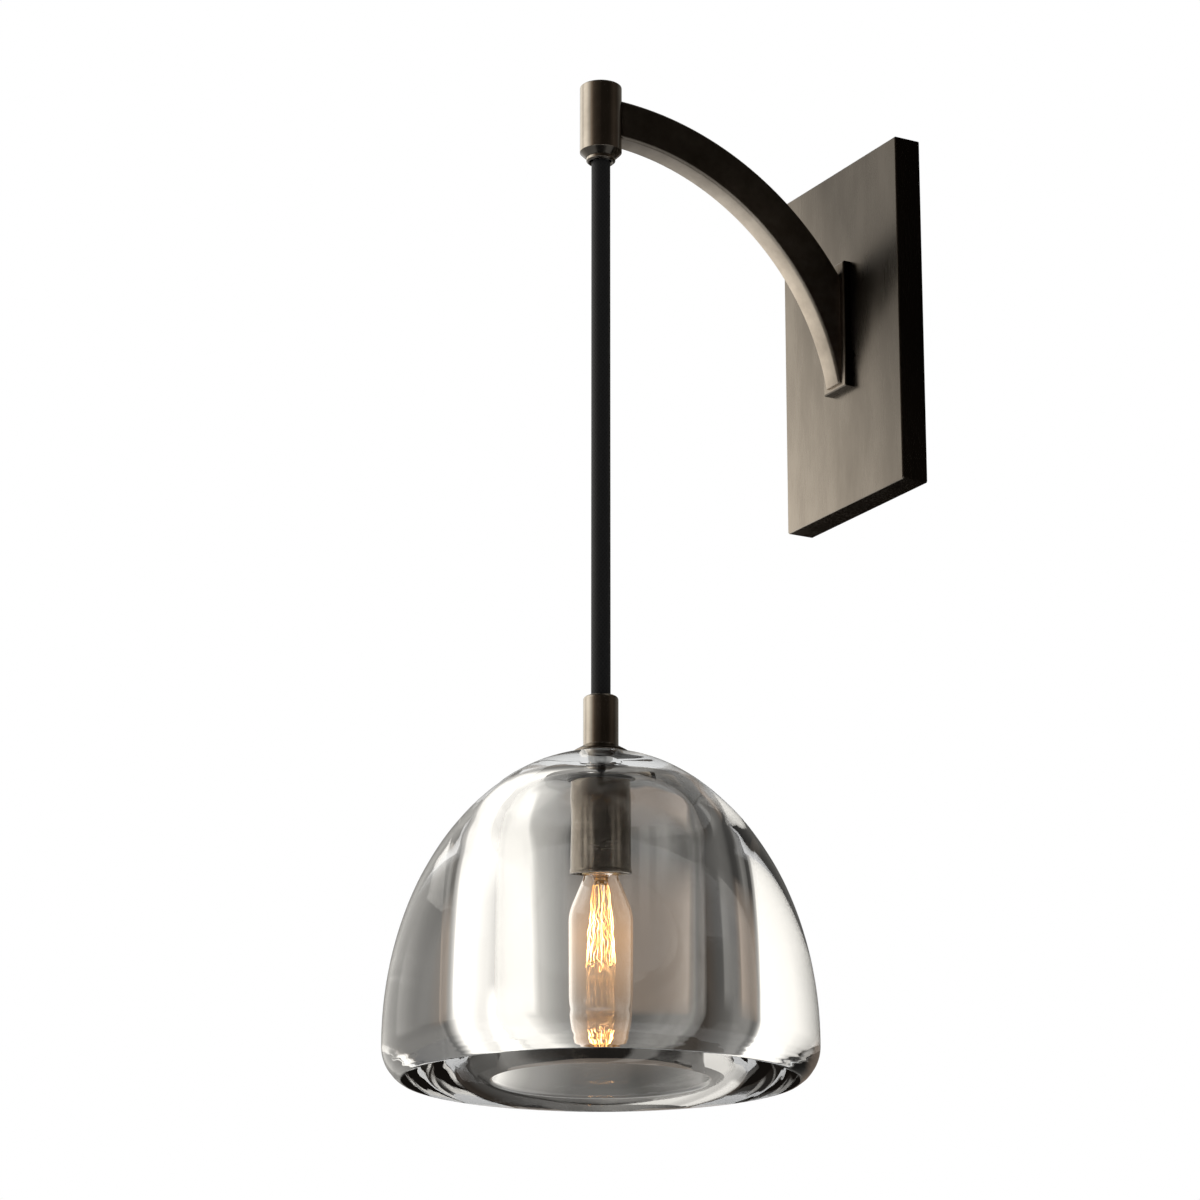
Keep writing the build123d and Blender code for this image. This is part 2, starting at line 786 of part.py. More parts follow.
def make_filament_hooks():
    """Wires from the stem's rod to the foot of the filament's strands."""
    hooks = []
    for index in range(0, strand_count, 2):
        middle = (cage_point(index, False) + cage_point(index + 1, False)) / 2
        outer = middle + Vector(0, 0, strand_radius + hook_radius)
        inner = Vector(0, -axis_reach, cage_bottom + hook_rise)
        reach = (outer - inner).normalized() * (stem_rod_radius + hook_radius)
        hooks.append(thin_bar(outer, inner + reach, hook_radius))
    return Compound(hooks)


# ---------------------------------------------------------------- nodes
nodes = {
    "backplate": make_backplate,
    "wall_bracket": make_wall_bracket,
    "ground_screw": make_ground_screw,
    "plate_set_screws": make_plate_set_screws,
    "foot_screws": make_foot_screws,
    "foot_washers": make_foot_washers,
    "foot_pad": make_foot_pad,
    "arm": make_arm,
    "hub": make_hub,
    "hub_cap": make_hub_cap,
    "cord_grip": make_cord_grip,
    "upper_ferrule": make_upper_ferrule,
    "cord_end": make_cord_end,
    "arm_wires": make_arm_wires,
    "cord_bend": make_cord_bend,
    "cord": make_cord,
    "lower_ferrule": make_lower_ferrule,
    "coupler": make_coupler,
    "nipple": make_nipple,
    "shade_washer": make_shade_washer,
    "upper_gasket": make_upper_gasket,
    "glass_shade": make_glass_shade,
    "lower_gasket": make_lower_gasket,
    "crown_nut": make_crown_nut,
    "socket_cup": make_socket_cup,
    "socket_cap": make_socket_cap,
    "socket_body": make_socket_body,
    "screw_shell": make_screw_shell,
    "centre_contact": make_centre_contact,
    "socket_wires": make_socket_wires,
    "lamp_cap": make_lamp_cap,
    "lamp_collar": make_lamp_collar,
    "lamp_eyelet": make_lamp_eyelet,
    "bulb_glass": make_bulb_glass,
    "lamp_stem": make_lamp_stem,
    "filament": make_filament,
    "filament_leads": make_filament_leads,
    "filament_hooks": make_filament_hooks,
}

os.makedirs("parts", exist_ok=True)
for name, make in nodes.items():
    export_step(make(), f"parts/{name}.step")
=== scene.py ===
"""Looks of the hanging pendant wall sconce: thick clear glass, brushed bronze, a black cord.

The frame is the part's own: the wall is the plane Y = 0, the room lies on -Y and +Z is up.
Shapes are in millimetres about the pendant's axis, materials and the studio in metres.
"""

from math import atan2, cos, hypot, pi, radians, sin, tan

import bmesh
import bpy
from mathutils import Matrix, Vector, noise


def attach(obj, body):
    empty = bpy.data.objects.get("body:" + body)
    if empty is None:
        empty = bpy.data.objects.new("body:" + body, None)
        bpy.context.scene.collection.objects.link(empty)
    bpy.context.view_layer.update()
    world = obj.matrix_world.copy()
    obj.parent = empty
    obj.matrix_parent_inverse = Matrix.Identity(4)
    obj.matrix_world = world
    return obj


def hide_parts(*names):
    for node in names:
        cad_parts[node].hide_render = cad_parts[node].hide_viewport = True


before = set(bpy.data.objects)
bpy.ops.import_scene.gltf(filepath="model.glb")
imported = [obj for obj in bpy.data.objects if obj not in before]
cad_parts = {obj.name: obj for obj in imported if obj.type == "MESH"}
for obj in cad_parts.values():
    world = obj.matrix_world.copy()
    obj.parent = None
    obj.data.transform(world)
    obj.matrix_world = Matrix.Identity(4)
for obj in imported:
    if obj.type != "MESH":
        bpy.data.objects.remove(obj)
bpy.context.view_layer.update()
scene = bpy.context.scene
noise.seed_set(5)  # noise_vector is drawn anew in each run without it

MM = 0.001
AXIS = Vector((0, -134.6, 0)) * MM  # where the pendant's axis passes height 0


# ---------------------------------------------------------------- camera, fitted to the photograph
VIEW_TURN = radians(60.765)  # from +Y toward -X
VIEW_RISE = radians(16.236)
CAMERA_PLACE = Vector((1353.6, -892.2, -590.6)) * MM
LENS = 115.74
SENSOR = 36
SHIFT = -0.00067  # of the picture's middle, in widths

forward = Vector((-sin(VIEW_TURN) * cos(VIEW_RISE), cos(VIEW_TURN) * cos(VIEW_RISE), sin(VIEW_RISE)))
right = Vector((cos(VIEW_TURN), sin(VIEW_TURN), 0))
upward = right.cross(forward)
facing = Matrix((right, upward, -forward)).transposed().to_4x4()
camera = bpy.data.objects.new("camera", bpy.data.cameras.new("camera"))
camera.matrix_world = Matrix.Translation(CAMERA_PLACE) @ facing
camera.data.lens = LENS
camera.data.sensor_width = SENSOR
camera.data.shift_x = SHIFT
camera.data.clip_start = 0.01
camera.data.clip_end = 100
scene.collection.objects.link(camera)
scene.camera = camera


# ---------------------------------------------------------------- node trees
materials = {}  # by the names of their slots


def new_material(name):
    made = bpy.data.materials.new(name)
    made.use_nodes = True
    materials[name] = made
    return made.node_tree, made.node_tree.nodes["Principled BSDF"]


def add(tree, kind, **values):
    """Node with its settings, and its sockets' values by the sockets' names."""
    made = tree.nodes.new(kind)
    for key, value in values.items():
        if hasattr(made, key):
            setattr(made, key, value)
        else:
            made.inputs[key.replace("_", " ")].default_value = value
    return made


def join(tree, source, target):
    tree.links.new(source, target)


def maths(tree, operation, *values):
    """Result of a math node on other nodes' outputs and plain numbers."""
    made = add(tree, "ShaderNodeMath", operation=operation)
    for value, socket in zip(values, made.inputs):
        if isinstance(value, (int, float)):
            socket.default_value = value
        else:
            join(tree, value, socket)
    return made.outputs["Value"]


def along(tree, source, direction):
    """How far a vector reaches along a direction."""
    made = add(tree, "ShaderNodeVectorMath", operation="DOT_PRODUCT")
    join(tree, source, made.inputs[0])
    made.inputs[1].default_value = direction
    return made.outputs["Value"]


def position(tree):
    """Coordinates fixed to the piece, in metres."""
    return add(tree, "ShaderNodeTexCoord").outputs["Object"]


def parts_of(tree, source):
    """The X, Y and Z of a vector."""
    made = add(tree, "ShaderNodeSeparateXYZ")
    join(tree, source, made.inputs["Vector"])
    return made.outputs


def mottle(tree, scale, detail, rough):
    """Noise between 0 and 1 with so many cells to the metre along each axis."""
    mapping = add(tree, "ShaderNodeMapping", Scale=scale)
    join(tree, position(tree), mapping.inputs["Vector"])
    made = add(tree, "ShaderNodeTexNoise", Scale=1.0, Detail=detail, Roughness=rough)
    join(tree, mapping.outputs["Vector"], made.inputs["Vector"])
    return made.outputs["Fac"]


def ramp(tree, value, stops):
    """Colours by value. A stop is (place, colour)."""
    made = add(tree, "ShaderNodeValToRGB")
    elements = made.color_ramp.elements
    stops = list(stops)
    while len(elements) < len(stops):
        elements.new(0.5)
    for element, (where, colour) in zip(elements, stops):
        element.position = where
        element.color = (*colour, 1)
    join(tree, value, made.inputs["Fac"])
    return made.outputs["Color"]


def span(tree, value, low, high, to_low, to_high):
    """Value carried from one range to another, and held at its ends."""
    made = add(tree, "ShaderNodeMapRange")
    for name, number in zip(("From Min", "From Max", "To Min", "To Max"), (low, high, to_low, to_high)):
        made.inputs[name].default_value = number
    join(tree, value, made.inputs["Value"])
    return made.outputs["Result"]


def blend_values(tree, one, other, share):
    made = add(tree, "ShaderNodeMix", data_type="FLOAT")
    made.inputs["Factor"].default_value = share
    join(tree, one, made.inputs["A"])
    join(tree, other, made.inputs["B"])
    return made.outputs["Result"]


def bump(tree, shader, height, distance, strength, edge=0.0):
    """Relief from a height, over edges that are softened by a radius in metres."""
    made = add(tree, "ShaderNodeBump", Strength=strength, Distance=distance)
    join(tree, height, made.inputs["Height"])
    if edge:
        softened = add(tree, "ShaderNodeBevel", samples=6, Radius=edge)
        join(tree, softened.outputs["Normal"], made.inputs["Normal"])
    join(tree, made.outputs["Normal"], shader.inputs["Normal"])


# ---------------------------------------------------------------- materials
NOISE_SPREAD = (0.3, 0.7)  # between which most of a noise lies
BLEND_SPREAD = (0.2, 0.8)  # between which two noises together are shown


def brushed(name, tones, rough, lines, cloud=(60, 60, 60), painted_shades=(), painted_shade_facing=None, edge=0.0005):
    """Brushed metal: long fine lines, cloudy patina and a roughness that follows both.

    Tones and rough are each (least, most); lines and cloud are cells to the metre. Painted shade may
    darken the colour along directions, each given as (direction, start, end, tone at the start and
    at the end), in metres. Faces that face along a direction get painted shade too, given as
    (direction, start, end, least tone).
    """
    tree, shader = new_material(name)
    shader.inputs["Metallic"].default_value = 1.0
    fine = mottle(tree, lines, 3.0, 0.6)
    patina = mottle(tree, cloud, 5.0, 0.6)
    both = blend_values(tree, fine, patina, 0.72)
    tone = ramp(tree, both, zip(BLEND_SPREAD, tones))
    share = span(tree, patina, *NOISE_SPREAD, 0.9, 1.08)
    # painted shade: the colour darkens along each given direction
    for direction, start, end, first, last in painted_shades:
        reach = along(tree, position(tree), direction)
        share = maths(tree, "MULTIPLY", share, span(tree, reach, start, end, first, last))
    # painted shade on faces that face along a given direction
    if painted_shade_facing:
        direction, start, end, least = painted_shade_facing
        surface = add(tree, "ShaderNodeNewGeometry")
        reach = along(tree, surface.outputs["Normal"], direction)
        share = maths(tree, "MULTIPLY", share, span(tree, reach, start, end, 1.0, least))
    darker = add(tree, "ShaderNodeVectorMath", operation="SCALE")
    join(tree, tone, darker.inputs[0])
    join(tree, share, darker.inputs["Scale"])
    join(tree, darker.outputs["Vector"], shader.inputs["Base Color"])
    join(tree, span(tree, both, *BLEND_SPREAD, *rough), shader.inputs["Roughness"])
    bump(tree, shader, fine, 0.00001, 0.25, edge)


def moulded(name, tones, rough, grain):
    """Plain surface with fine grain, for plastic, rubber and insulation."""
    tree, shader = new_material(name)
    shader.inputs["Metallic"].default_value = 0.0
    fine = mottle(tree, (grain,) * 3, 4.0, 0.6)
    join(tree, ramp(tree, fine, zip(NOISE_SPREAD, tones)), shader.inputs["Base Color"])
    join(tree, span(tree, fine, *NOISE_SPREAD, *rough), shader.inputs["Roughness"])
    bump(tree, shader, fine, 0.00002, 0.4)


def clear(name, tint, wave, depth, glow=None):
    """Clear glass with the faint waves of a hand-finished surface.

    Glow is the veil of light round a hot filament: (colour, strength, its height, where it ends).
    """
    tree, shader = new_material(name)
    shader.inputs["Base Color"].default_value = (*tint, 1)
    shader.inputs["Roughness"].default_value = 0.0
    shader.inputs["IOR"].default_value = 1.5
    shader.inputs["Transmission Weight"].default_value = 1.0
    bump(tree, shader, mottle(tree, wave, 2.0, 0.4), depth, 0.3)
    if glow:
        colour, strength, centre, reach = glow
        shader.inputs["Emission Color"].default_value = (*colour, 1)
        height = parts_of(tree, position(tree))["Z"]
        above = span(tree, height, centre, centre + reach, 1.0, 0.0)
        below = span(tree, height, centre, centre - reach, strength, 0.0)
        join(tree, maths(tree, "MULTIPLY", above, below), shader.inputs["Emission Strength"])


def braided(name, tones, rough, ribs_round, climb):
    """Fine braid over the hanging cord: two sets of diagonal ribs and a faint sheen.

    So many ribs lie round the cord, and climb is how fast they pass by upward, in radians to the metre.
    """
    tree, shader = new_material(name)
    where = parts_of(tree, position(tree))
    across = maths(tree, "SUBTRACT", where["Y"], AXIS.y)
    angle = maths(tree, "ARCTAN2", across, where["X"])
    ribs = []
    for lean in (climb, -climb):
        rise = maths(tree, "MULTIPLY", where["Z"], lean)
        ribs.append(maths(tree, "SINE", maths(tree, "MULTIPLY_ADD", angle, ribs_round, rise)))
    threads = mottle(tree, (3500, 3500, 1200), 3.0, 0.6)
    weave = blend_values(tree, maths(tree, "MAXIMUM", *ribs), threads, 0.35)
    join(tree, ramp(tree, weave, [(0.1, tones[0]), (0.9, tones[1])]), shader.inputs["Base Color"])
    join(tree, span(tree, weave, 0, 1, *rough), shader.inputs["Roughness"])
    shader.inputs["Specular IOR Level"].default_value = 0.35
    shader.inputs["Sheen Weight"].default_value = 0.04
    bump(tree, shader, weave, 0.00005, 0.35)


def glowing(name, tones, strength, warming, ending):
    """Hot carbon strand, uneven along its length.

    Strength grows between the two heights of warming, and falls off between those of ending.
    """
    tree, shader = new_material(name)
    heat = mottle(tree, (240, 240, 120), 3.0, 0.6)
    tone = ramp(tree, heat, zip(NOISE_SPREAD, tones))
    join(tree, tone, shader.inputs["Base Color"])
    join(tree, tone, shader.inputs["Emission Color"])
    height = parts_of(tree, position(tree))["Z"]
    rise = span(tree, height, *warming, *strength)
    ends = span(tree, height, *ending, 1.0, 0.2)
    uneven = span(tree, heat, 0.35, 0.65, 0.12, 1.3)
    power = maths(tree, "MULTIPLY", maths(tree, "MULTIPLY", rise, ends), uneven)
    join(tree, power, shader.inputs["Emission Strength"])


# the darkest and the lightest tone of each finish
BRONZE = ((0.31, 0.265, 0.215), (0.47, 0.415, 0.35))
# the hub's and coupler's bronze: a lighter copy of BRONZE, lightened as a painted brighter highlight
LIGHTENED_BRONZE = ((0.40, 0.35, 0.29), (0.60, 0.545, 0.47))
CUP = ((0.24, 0.205, 0.17), (0.40, 0.355, 0.30))
ZINC = ((0.44, 0.44, 0.43), (0.62, 0.62, 0.60))
GREEN = ((0.03, 0.16, 0.07), (0.05, 0.26, 0.11))
BRASS = ((0.52, 0.37, 0.16), (0.72, 0.54, 0.27))
CAP_BRASS = ((0.50, 0.36, 0.17), (0.70, 0.53, 0.28))
NICKEL = ((0.5, 0.47, 0.42), (0.66, 0.62, 0.56))
RUBBER = ((0.01, 0.01, 0.01), (0.02, 0.02, 0.02))
SLEEVE = ((0.012, 0.012, 0.013), (0.022, 0.022, 0.024))
CERAMIC = ((0.62, 0.60, 0.56), (0.74, 0.72, 0.68))
BLACK_GLASS = ((0.02, 0.02, 0.024), (0.04, 0.04, 0.045))
BRAID = ((0.0035, 0.0035, 0.0035), (0.008, 0.008, 0.0082))
AMBER = ((1.0, 0.36, 0.06), (1.0, 0.62, 0.26))

# brushing, in cells to the metre: fine across and long along it
UP_PLATE = (3400, 3400, 60)
UP_PAD = (2600, 2600, 40)
ALONG_ARM = (2600, 500, 500)
ROUND_HUB = (50, 50, 5200)
ROUND_CUP = (50, 50, 3200)
ROUND_BRASS = (80, 80, 4200)
EVEN = (900, 900, 900)

# painted shade, as brushed takes it: where the colour darkens along a direction, and which faces are
# darker; the plate's painted shade darkens it toward the top and right
PLATE_PAINTED_SHADE = ((0.85, 0, 0.5), -0.08, 0.03, 1.05, 0.27)
# the pad: painted shade that darkens it toward the top, and nearly black painted shade on its side and
# underside
PAD_PAINTED_SHADE = ((0, 0, 1), -0.02, 0.03, 0.85, 0.5)
PAD_PAINTED_FACING_SHADE = ((0.7, 0, -0.7), 0.3, 0.6, 0.1)
# the arm: painted light toward its -X edge, painted shade toward +X, and painted shade that darkens it
# near the hub
ARM_PAINTED_SHADES = (((1, 0, 0), -0.0055, 0.0055, 1.55, 0.8), ((0, 0, 1), 0.045, 0.068, 1.0, 0.5))
# the hub: painted shade on its faces turned down
HUB_PAINTED_UNDERSHADE = ((0, 0, -1), 0.35, 0.65, 0.13)

# the filament's light in the bulb, as clear takes it
VEIL = ((1.0, 0.46, 0.11), 0.085, -0.291, 0.028)

brushed("plate_bronze", BRONZE, (0.2, 0.34), UP_PLATE, (48, 48, 14), painted_shades=[PLATE_PAINTED_SHADE])
brushed("pad_bronze", BRONZE, (0.24, 0.34), UP_PAD, painted_shades=[PAD_PAINTED_SHADE], painted_shade_facing=PAD_PAINTED_FACING_SHADE)
brushed("arm_bronze", BRONZE, (0.28, 0.40), ALONG_ARM, (90, 90, 90), painted_shades=ARM_PAINTED_SHADES, edge=0.0011)
brushed("hub_bronze", LIGHTENED_BRONZE, (0.12, 0.2), ROUND_HUB, painted_shade_facing=HUB_PAINTED_UNDERSHADE)
brushed("coupler_bronze", LIGHTENED_BRONZE, (0.12, 0.22), ROUND_HUB)
brushed("socket_bronze", CUP, (0.2, 0.3), ROUND_CUP)
brushed("zinc_steel", ZINC, (0.28, 0.42), EVEN)
brushed("ground_green", GREEN, (0.3, 0.45), EVEN)
brushed("raw_brass", BRASS, (0.2, 0.34), ROUND_BRASS)
brushed("lamp_brass", CAP_BRASS, (0.22, 0.36), ROUND_BRASS)
brushed("lead_nickel", NICKEL, (0.25, 0.35), EVEN)
moulded("nut_black", RUBBER, (0.3, 0.45), grain=700)
moulded("wire_black", SLEEVE, (0.4, 0.55), grain=1400)
moulded("socket_insulator", CERAMIC, (0.35, 0.5), grain=500)
moulded("lamp_insulator", BLACK_GLASS, (0.2, 0.32), grain=900)
clear("shade_glass", (0.985, 0.985, 0.98), wave=(22, 22, 16), depth=0.0002)
clear("bulb_glass", (1.0, 0.995, 0.985), wave=(60, 60, 30), depth=0.0001, glow=VEIL)
clear("stem_glass", (0.99, 0.99, 0.985), wave=(300, 300, 200), depth=0.0002)
braided("cord_black", BRAID, (0.62, 0.48), ribs_round=16, climb=3000)
glowing("filament_amber", AMBER, (2.5, 15.0), warming=(-0.276, -0.290), ending=(-0.2945, -0.300))

node_slots = {
    "plate_bronze": ["backplate"],
    "pad_bronze": ["foot_pad"],
    "arm_bronze": ["arm"],
    "hub_bronze": ["hub", "hub_cap", "cord_grip"],
    "coupler_bronze": ["coupler"],
    "socket_bronze": ["socket_cup", "shade_washer"],
    "zinc_steel": ["wall_bracket", "plate_set_screws", "foot_screws", "foot_washers", "nipple"],
    "ground_green": ["ground_screw"],
    "raw_brass": ["screw_shell", "centre_contact", "upper_ferrule", "lower_ferrule"],
    "lamp_brass": ["lamp_cap", "lamp_eyelet"],
    "lead_nickel": ["filament_leads", "filament_hooks"],
    "wire_black": ["arm_wires", "socket_wires"],
    "nut_black": ["crown_nut", "lower_gasket", "upper_gasket"],
    "socket_insulator": ["socket_cap", "socket_body"],
    "lamp_insulator": ["lamp_collar"],
    "shade_glass": ["glass_shade"],
    "bulb_glass": ["bulb_glass"],
    "stem_glass": ["lamp_stem"],
    "cord_black": ["cord_end", "cord_bend", "cord"],
    "filament_amber": ["filament"],
}
for slot_name, names in node_slots.items():
    for name in names:
        for slot in bpy.data.objects[name].material_slots:
            slot.material = materials[slot_name]


# ---------------------------------------------------------------- pieces
def mesh_object(name, mesh, *dresses):
    """Object of a finished bmesh in the scene, with its materials."""
    data = bpy.data.meshes.new(name)
    mesh.to_mesh(data)
    mesh.free()
    for each in dresses:
        data.materials.append(each)
    made = bpy.data.objects.new(name, data)
    scene.collection.objects.link(made)
    return made


def circle(radius, height, steps):
    turns = [2 * pi * step / steps for step in range(steps)]
    return [(radius * cos(turn), radius * sin(turn), height) for turn in turns]


def arc(centre, radii, start, end, steps):
    """Points of an elliptical arc, angles in degrees from level."""
    points = []
    for step in range(steps + 1):
        angle = radians(start + (end - start) * step / steps)
        points.append((centre[0] + radii[0] * cos(angle), centre[1] + radii[1] * sin(angle)))
    return points


CREASE = 25


def mark_creases(rings, outline):
    """Sharp edges on the rings where the outline turns by more than CREASE degrees."""
    count = len(outline)
    for index, ring in enumerate(rings):
        before = Vector(outline[index]) - Vector(outline[index - 1])
        after = Vector(outline[(index + 1) % count]) - Vector(outline[index])
        straight = not (before.length and after.length)
        if len(ring) == 1 or straight or abs(before.angle_signed(after)) <= radians(CREASE):
            continue
        for edge in {each for vertex in ring for each in vertex.link_edges}:
            if edge.verts[0] in ring and edge.verts[1] in ring:
                edge.smooth = False


def turned(name, outline, steps, shift=None):
    """Closed surface about the pendant's axis from an outline of (radius, height)."""
    mesh = bmesh.new()
    rings = []
    for radius, height in outline:
        points = [Vector(point) for point in circle(radius, height, steps)]
        if radius < 1e-6:
            points = [Vector((0, 0, height))]
        elif shift:
            points = [shift(point) for point in points]
        rings.append([mesh.verts.new(AXIS + point * MM) for point in points])
    for one, other in zip(rings, rings[1:] + rings[:1]):
        if len(one) == 1 and len(other) == 1:
            continue
        for step in range(steps):
            after = (step + 1) % steps
            if len(one) == 1:
                mesh.faces.new((one[0], other[step], other[after]))
            elif len(other) == 1:
                mesh.faces.new((one[step], other[0], one[after]))
            else:
                mesh.faces.new((one[step], other[step], other[after], one[after]))
    bmesh.ops.recalc_face_normals(mesh, faces=mesh.faces)
    for face in mesh.faces:
        face.smooth = True
    mark_creases(rings, outline)
    return mesh_object(name, mesh)


def wire(name, points, radius, roundness, capped=False):
    """Round wire on a smooth line through control points."""
    line = bpy.data.curves.new(name, "CURVE")
    line.dimensions = "3D"
    line.bevel_depth = radius * MM
    line.bevel_resolution = roundness
    line.use_fill_caps = capped
    spline = line.splines.new("NURBS")
    spline.points.add(len(points) - 1)
    for point, where in zip(spline.points, points):
        point.co = (*(AXIS + Vector(where) * MM), 1)
    spline.order_u = 3
    spline.use_endpoint_u = True
    made = bpy.data.objects.new(name, line)
    scene.collection.objects.link(made)
    return made


def dress(piece, body, slot_name, *nodes):
    piece.data.materials.append(materials[slot_name])
    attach(piece, body)
    if nodes:
        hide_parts(*nodes)
    return piece


# ---------------------------------------------------------------- glass dome
HOLE = 6.5  # radius of the hole in the crown
GLASS_TOP = -205.9
WIDEST = -325.69  # height of the foot of the crown's ellipse
SHADE = 88.9
CROWN = 120.9  # height of the crown's ellipse
CROWN_START = 82.244  # degrees on it where the ground flat under the washer ends
BAND = 2.2  # upright band under the crown
HEEL = 15.8
HEEL_SWEEP = 60
HEEL_DRAWN = 58.5  # the rest of the sweep is the eased foot
FOOT_EASE = ((0.35, 0.02), (0.9, 0.0))  # inward and up from the sweep's end
CAVITY_TOP = -225.2
ROOF = 16.0  # radius of the cavity's flat roof
CAVITY = 41.5
CAVITY_SHOULDER = 38.0
CAVITY_SIDE = [(43.2, -310.0), (42.6, -290.0), (42.0, -274.0)]  # widens to the mouth
MOUTH = 43.5
MOUTH_ROUND = 2.0
BOTTOM = WIDEST - BAND - HEEL * sin(radians(HEEL_SWEEP))
RIM = SHADE - HEEL * (1 - cos(radians(HEEL_SWEEP)))
DOME_STEPS = 288

# waves of the hand-finished wall: how deep they are, and the radius and height where they begin or end
WAVE_LENGTH = 12
INSIDE_WAVE, INSIDE_REACH, INSIDE_FOOT = 0.16, 43, -278  # also outside, within that radius
CROWN_WAVE, CROWN_HOLE, CROWN_FOOT = 0.18, 14, -262
HEEL_REACH = 48  # radius beyond which the heel's rings lie
HEEL_LEAN = 0.42  # how far round the heel they begin, in radians
RIPPLE, RIPPLE_PITCH = 0.016, 2.3
SWELL, SWELL_PITCH = 0.06, 6.1


def grown(value, start, length):
    """Share that grows from 0 at a start to 1 a length further."""
    return min(1, max(0, (value - start) / length))


def waves(point):
    """Slow waves of a hand-finished wall, inside and over the crown, and rings round the heel."""
    radius = hypot(point.x, point.y)
    outward = Vector((point.x, point.y, 0)) / max(radius, 1)
    above = Vector((0, 0, 1))
    slow = noise.noise(point / WAVE_LENGTH + Vector((3.7, 1.2, 5.1)))
    if radius < INSIDE_REACH and point.z > INSIDE_FOOT:
        depth = INSIDE_WAVE * slow * grown(point.z, INSIDE_FOOT, 24) * grown(radius, 9, 5)
        return point + (outward + above) * (0.7 * depth)
    if radius > CROWN_HOLE and point.z > CROWN_FOOT:
        depth = CROWN_WAVE * (1 + slow) * grown(point.z, CROWN_FOOT, 20) * grown(radius, CROWN_HOLE, 6)
        return point - (outward * 0.5 + above * 0.85) * depth
    if radius > HEEL_REACH and point.z < WIDEST:
        turn = atan2(point.y, point.x)
        lean = atan2(WIDEST - BAND - point.z, radius - SHADE + HEEL)
        drift = noise.noise(Vector((cos(turn) * 1.6, sin(turn) * 1.6, lean * 0.8))) * 5
        ripple = RIPPLE * (0.5 + 0.5 * sin(lean * HEEL * 2 * pi / RIPPLE_PITCH + drift))
        swell = SWELL * (0.5 + 0.5 * sin(lean * HEEL * 2 * pi / SWELL_PITCH - drift))
        return point - (outward - above) * (grown(lean, HEEL_LEAN, 0.2) * (ripple + swell))
    return point


crown = arc((0, WIDEST), (SHADE, CROWN), CROWN_START, 0, 72)
heel = arc((SHADE - HEEL, WIDEST - BAND), (HEEL, HEEL), 0, -HEEL_DRAWN, 64)
foot = [(RIM - inward, BOTTOM + up) for inward, up in FOOT_EASE]
lip = arc((MOUTH + MOUTH_ROUND, BOTTOM + MOUTH_ROUND), (MOUTH_ROUND, MOUTH_ROUND), -90, -180, 8)
shoulder = arc((ROOF, CAVITY_TOP - CAVITY_SHOULDER), (CAVITY - ROOF, CAVITY_SHOULDER), 0, 90, 40)
hole = [(HOLE, CAVITY_TOP), (HOLE, GLASS_TOP)]
dome_outline = hole + crown + heel + foot + lip + CAVITY_SIDE + shoulder
dome = turned("shade_dome", dome_outline, DOME_STEPS, shift=waves)
dress(dome, "pendant", "shade_glass", "glass_shade")


# ---------------------------------------------------------------- bulb
BULB = 13.0
BULB_WALL = 0.7
NECK = 7.0
NECK_TOP = -268.7
NECK_TURN = ((10.0, -271.0), 3.0)  # centre and radius of the turn from the neck to the cone
CONE_FOOT = -286.274  # height of the centre of the turn from the cone to the wall
CONE_LEAN = 28
TIP = -310.0  # height of the centre of the round tip


def bulb_side(inset):
    """Neck, cone and wall of the bulb, joined by two turns, then the round tip."""
    centre, radius = NECK_TURN
    around, inner = radius + inset, BULB - inset
    neck_turn = arc(centre, (around, around), 180, 180 + CONE_LEAN, 8)
    wall_turn = arc((0.0, CONE_FOOT), (inner, inner), CONE_LEAN, 0, 10)
    tip = arc((0, TIP), (inner, inner), 0, -90, 24)[:-1]
    return [(NECK - inset, NECK_TOP)] + neck_turn + wall_turn + tip + [(0.0, TIP - BULB + inset)]


envelope = turned("bulb_envelope", bulb_side(0) + list(reversed(bulb_side(BULB_WALL))), 128)
dress(envelope, "lamp", "bulb_glass", "bulb_glass")


# ---------------------------------------------------------------- filament
STRAND = 0.1
CAGE_LOOPS = 8
CAGE_ROWS = 18  # control points down each side of a loop
CAGE_TOP = -274.4
CAGE_FOOT = -299.6
CAGE_NECK = 3.1  # radius of the cage at its top
CAGE_SPREAD = 6.0
LOOP_WIDTH = 0.42  # share of the room that each loop has
LOOP_SPREAD = 3.0  # how far the loops' feet lie above or below CAGE_FOOT, at most
CRIMPS = 8.0  # waves of the crimp down a strand
CRIMP_SWING, CRIMP_REACH = 0.5, 1.5  # round the cage in radians, and outward


def cage_points():
    """Squirrel cage of crimped strands, one unbroken run that hangs from the neck in loops."""
    points = []
    for loop in range(CAGE_LOOPS):
        for side in (0, 1):
            turn = 2 * pi * (loop + LOOP_WIDTH * side) / CAGE_LOOPS
            low = CAGE_FOOT + LOOP_SPREAD * noise.noise(Vector((loop * 1.9, 4.4, side)))
            for row in range(CAGE_ROWS + 1):
                share = row / CAGE_ROWS if side == 0 else 1 - row / CAGE_ROWS
                crimp = noise.noise_vector(Vector((loop * 3.1 + side * 1.7, share * CRIMPS, 2.3)))
                slack = sin(pi * share) ** 0.7
                swing = turn + CRIMP_SWING * slack * crimp.x
                reach = CAGE_NECK + (CAGE_SPREAD - CAGE_NECK) * share**0.8
                reach += CRIMP_REACH * slack * crimp.y * (0.3 + 0.7 * share)
                height = CAGE_TOP + (low - CAGE_TOP) * share
                points.append((reach * cos(swing), reach * sin(swing), height))
    return points


dress(wire("filament_cage", cage_points(), STRAND, 2), "lamp", "filament_amber", "filament")


